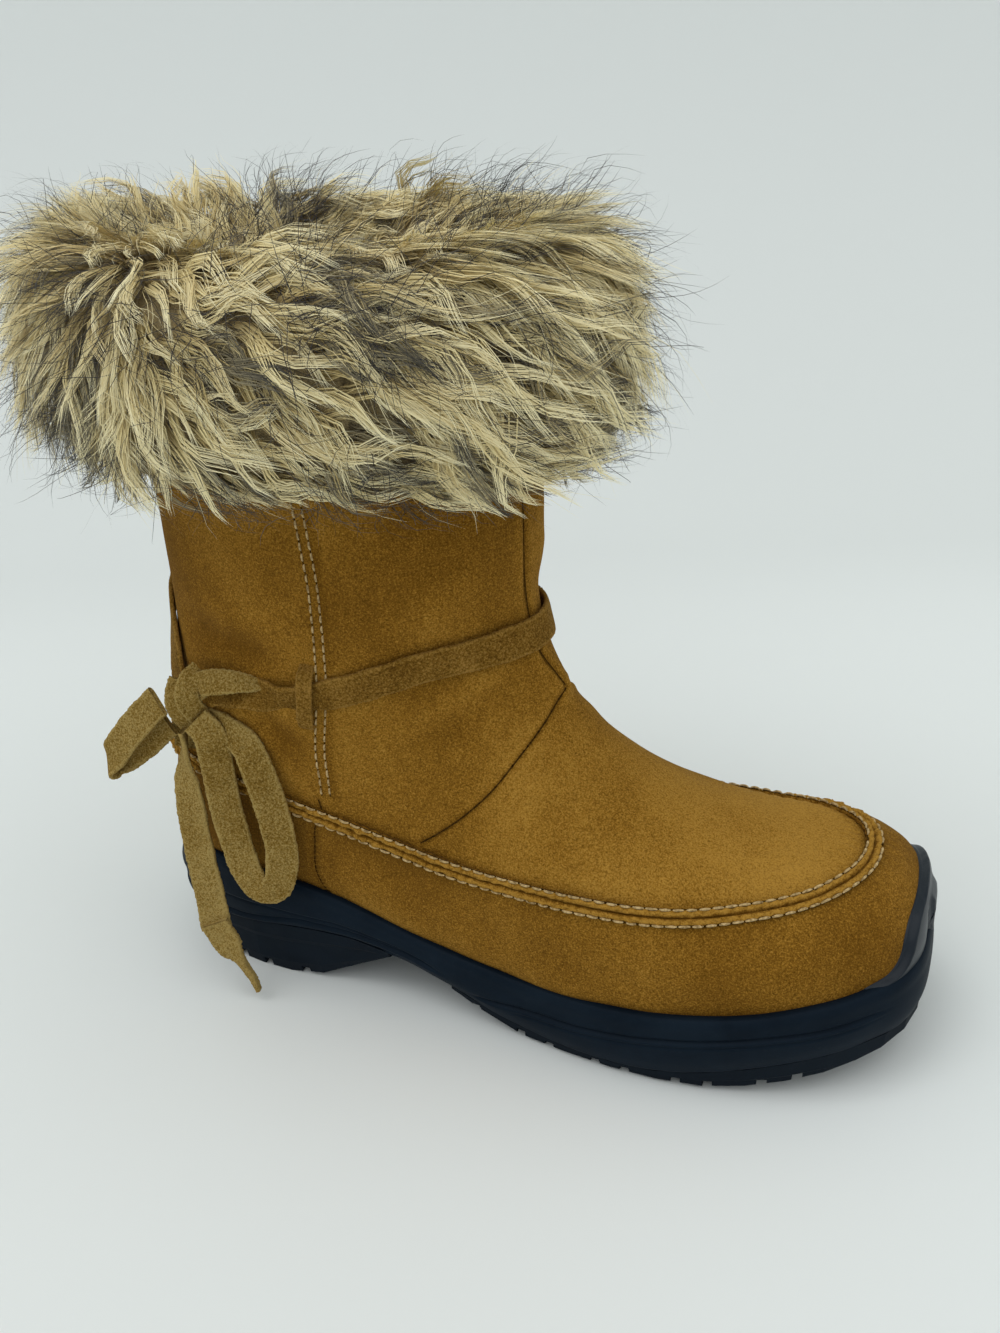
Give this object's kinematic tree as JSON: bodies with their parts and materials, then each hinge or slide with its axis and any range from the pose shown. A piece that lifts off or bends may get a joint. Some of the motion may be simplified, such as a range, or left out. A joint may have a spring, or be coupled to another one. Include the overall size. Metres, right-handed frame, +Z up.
{
  "type": "mukluk boot",
  "caption": "Right mid-calf mukluk boot in tan suede: moccasin-style toe with a raised seam, moulded black sole, shaggy fur cuff, ankle strap tied in a side bow.",
  "frame": {"origin": "on the floor under the middle of the heel, at the heel tread's flat face", "axes": "+Z up, +X to the toe, +Y to the inner side of the right foot"},
  "size_m": [0.333, 0.1977, 0.2855],
  "materials": {
    "suede": "brushed suede",
    "strap_suede": "rough suede",
    "sidewall_rubber": "satin",
    "tread_rubber": "matt",
    "fleece": "pile",
    "fur": "long pile"
  },
  "bodies": {
    "root": {"upper": "suede", "moc_seam": "suede", "midsole": "sidewall_rubber", "outsole_heel": "tread_rubber", "outsole_forefoot": "tread_rubber", "insole": "fleece", "fur_cuff": "fur", "ankle_strap": "strap_suede", "strap_keeper": "strap_suede", "bow_knot": "strap_suede", "bow_loop": "strap_suede", "bow_side_loop": "strap_suede", "bow_tail": "strap_suede", "bow_short_tail": "strap_suede"}
  },
  "joints": []
}
